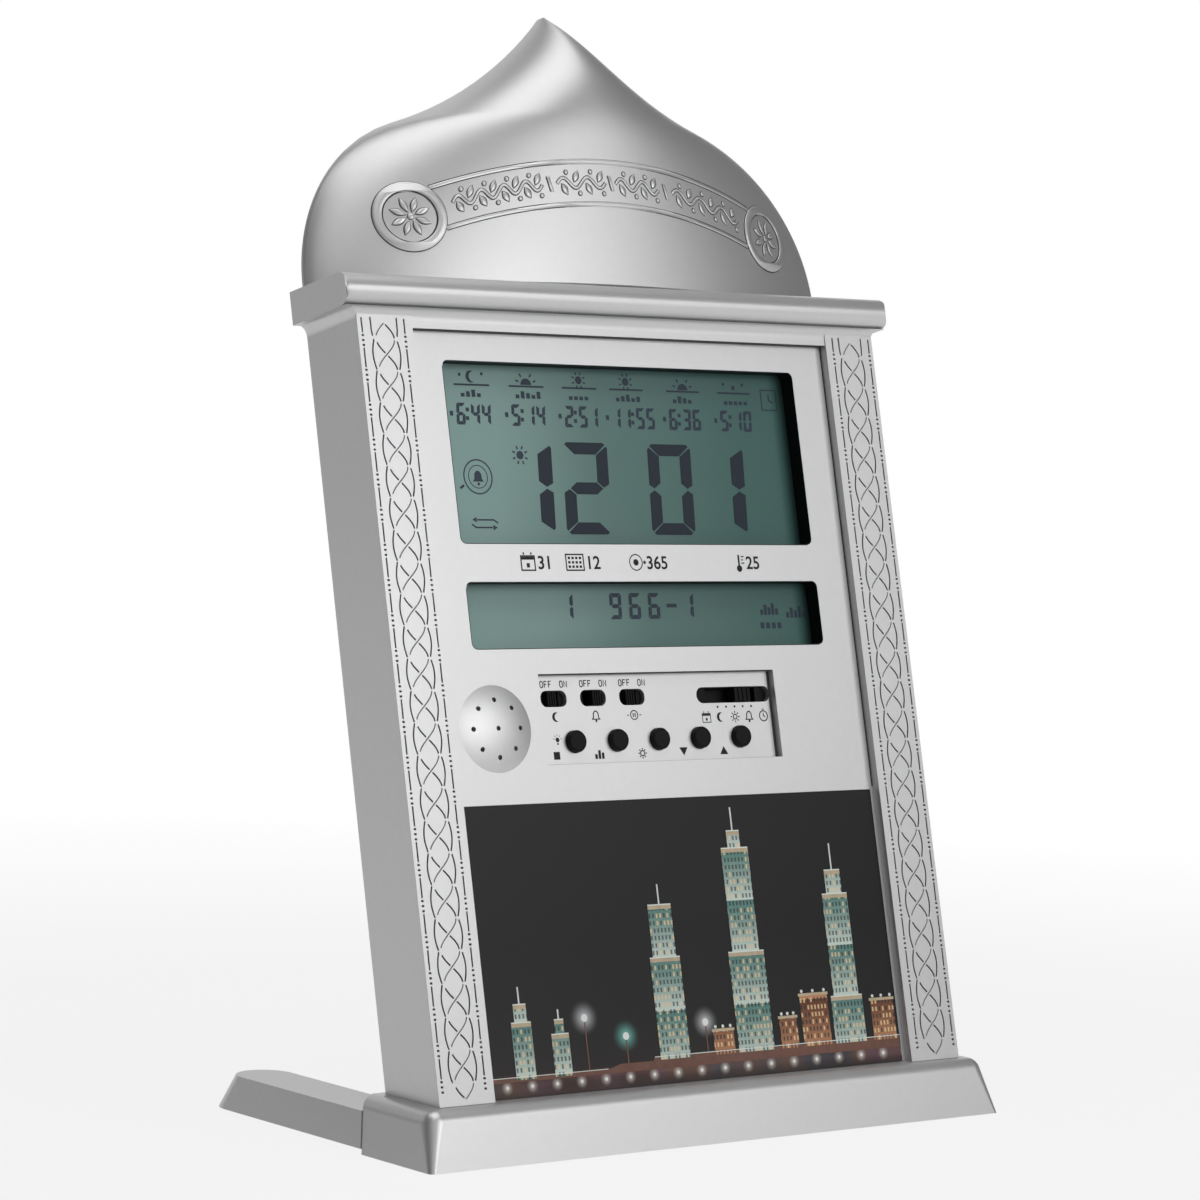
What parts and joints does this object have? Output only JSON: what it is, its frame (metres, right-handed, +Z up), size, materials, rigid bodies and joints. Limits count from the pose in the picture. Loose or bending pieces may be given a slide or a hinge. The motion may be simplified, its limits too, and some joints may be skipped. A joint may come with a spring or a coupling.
{
  "type": "table and wall clock",
  "caption": "Leaning digital clock with an onion-dome top, a large time display, a date display, slide switches, push buttons and fold-out rear legs.",
  "frame": {"origin": "on the table, under the middle of the clock's footprint with both legs out", "axes": "+Z up, -Y is the side that the displays face, +X is to the right of someone who reads the displays"},
  "size_m": [0.2074, 0.1116, 0.3201],
  "materials": {
    "silver_plastic": "satin silver paint on moulded plastic",
    "black_plastic": "moulded black plastic",
    "black_rubber": "matte rubber",
    "display_glass": "grey-green liquid crystal glass",
    "clear_plastic": "clear light panel",
    "circuit_board": "green solder mask",
    "component_case": "black component cases",
    "printed_card": "dark printed picture",
    "steel": "plated steel",
    "speaker_film": "thin plastic film",
    "battery_wrap": "plain wrapped cell"
  },
  "bodies": {
    "clock": {"front_housing": "silver_plastic", "face_panel": "silver_plastic", "picture_card": "printed_card", "dome_shell": "silver_plastic", "dome_cover": "silver_plastic", "rear_cover": "silver_plastic", "plinth_shell": "silver_plastic", "plinth_base": "silver_plastic", "left_leg_pin": "steel", "right_leg_pin": "steel", "display_frame": "black_plastic", "time_display": "display_glass", "date_display": "display_glass", "light_panels": "clear_plastic", "display_connectors": "black_rubber", "main_board": "circuit_board", "board_components": "component_case", "control_plate": "silver_plastic", "control_board": "circuit_board", "slide_switches": "black_plastic", "selector_switch": "black_plastic", "tact_switches": "black_plastic", "speaker_frame": "steel", "speaker_cone": "speaker_film", "upper_cell": "battery_wrap", "lower_cell": "battery_wrap", "battery_contacts": "steel", "contact_springs": "steel", "cover_screws": "steel", "plinth_screws": "steel", "board_screws": "steel"},
    "left_leg": {"left_leg": "silver_plastic", "left_leg_pad": "black_rubber"},
    "right_leg": {"right_leg": "silver_plastic", "right_leg_pad": "black_rubber"},
    "battery_door": {"battery_door": "silver_plastic"},
    "left_switch_knob": {"left_switch_knob": "black_plastic"},
    "middle_switch_knob": {"middle_switch_knob": "black_plastic"},
    "right_switch_knob": {"right_switch_knob": "black_plastic"},
    "selector_knob": {"selector_knob": "black_plastic"},
    "stop_button": {"stop_button": "black_plastic"},
    "city_button": {"city_button": "black_plastic"},
    "set_button": {"set_button": "black_plastic"},
    "down_button": {"down_button": "black_plastic"},
    "up_button": {"up_button": "black_plastic"}
  },
  "joints": [
    {"name": "left_leg_fold", "type": "hinge", "parent": "clock", "child": "left_leg", "pos_m": [-0.09345, -0.03358, 0.0065], "axis": [0, 0, 1], "range_deg": [-90, 0]},
    {"name": "right_leg_fold", "type": "hinge", "parent": "clock", "child": "right_leg", "pos_m": [0.09345, -0.03358, 0.0065], "axis": [0, 0, 1], "range_deg": [0, 90]},
    {"name": "battery_door_lift", "type": "slide", "parent": "clock", "child": "battery_door", "axis": [0, 0.972, -0.2351], "range_m": [0, 0.03]},
    {"name": "left_switch_slide", "type": "slide", "parent": "clock", "child": "left_switch_knob", "axis": [1, 0, 0], "range_m": [0, 0.002]},
    {"name": "middle_switch_slide", "type": "slide", "parent": "clock", "child": "middle_switch_knob", "axis": [1, 0, 0], "range_m": [-0.002, 0]},
    {"name": "right_switch_slide", "type": "slide", "parent": "clock", "child": "right_switch_knob", "axis": [1, 0, 0], "range_m": [0, 0.002]},
    {"name": "selector_slide", "type": "slide", "parent": "clock", "child": "selector_knob", "axis": [1, 0, 0], "range_m": [-0.0096, 0.0032]},
    {"name": "stop_press", "type": "slide", "parent": "clock", "child": "stop_button", "axis": [0, 0.972, -0.2351], "range_m": [0, 0.0007], "stiffness_N_per_m": 1500},
    {"name": "city_press", "type": "slide", "parent": "clock", "child": "city_button", "axis": [0, 0.972, -0.2351], "range_m": [0, 0.0007], "stiffness_N_per_m": 1500},
    {"name": "set_press", "type": "slide", "parent": "clock", "child": "set_button", "axis": [0, 0.972, -0.2351], "range_m": [0, 0.0007], "stiffness_N_per_m": 1500},
    {"name": "down_press", "type": "slide", "parent": "clock", "child": "down_button", "axis": [0, 0.972, -0.2351], "range_m": [0, 0.0007], "stiffness_N_per_m": 1500},
    {"name": "up_press", "type": "slide", "parent": "clock", "child": "up_button", "axis": [0, 0.972, -0.2351], "range_m": [0, 0.0007], "stiffness_N_per_m": 1500}
  ]
}
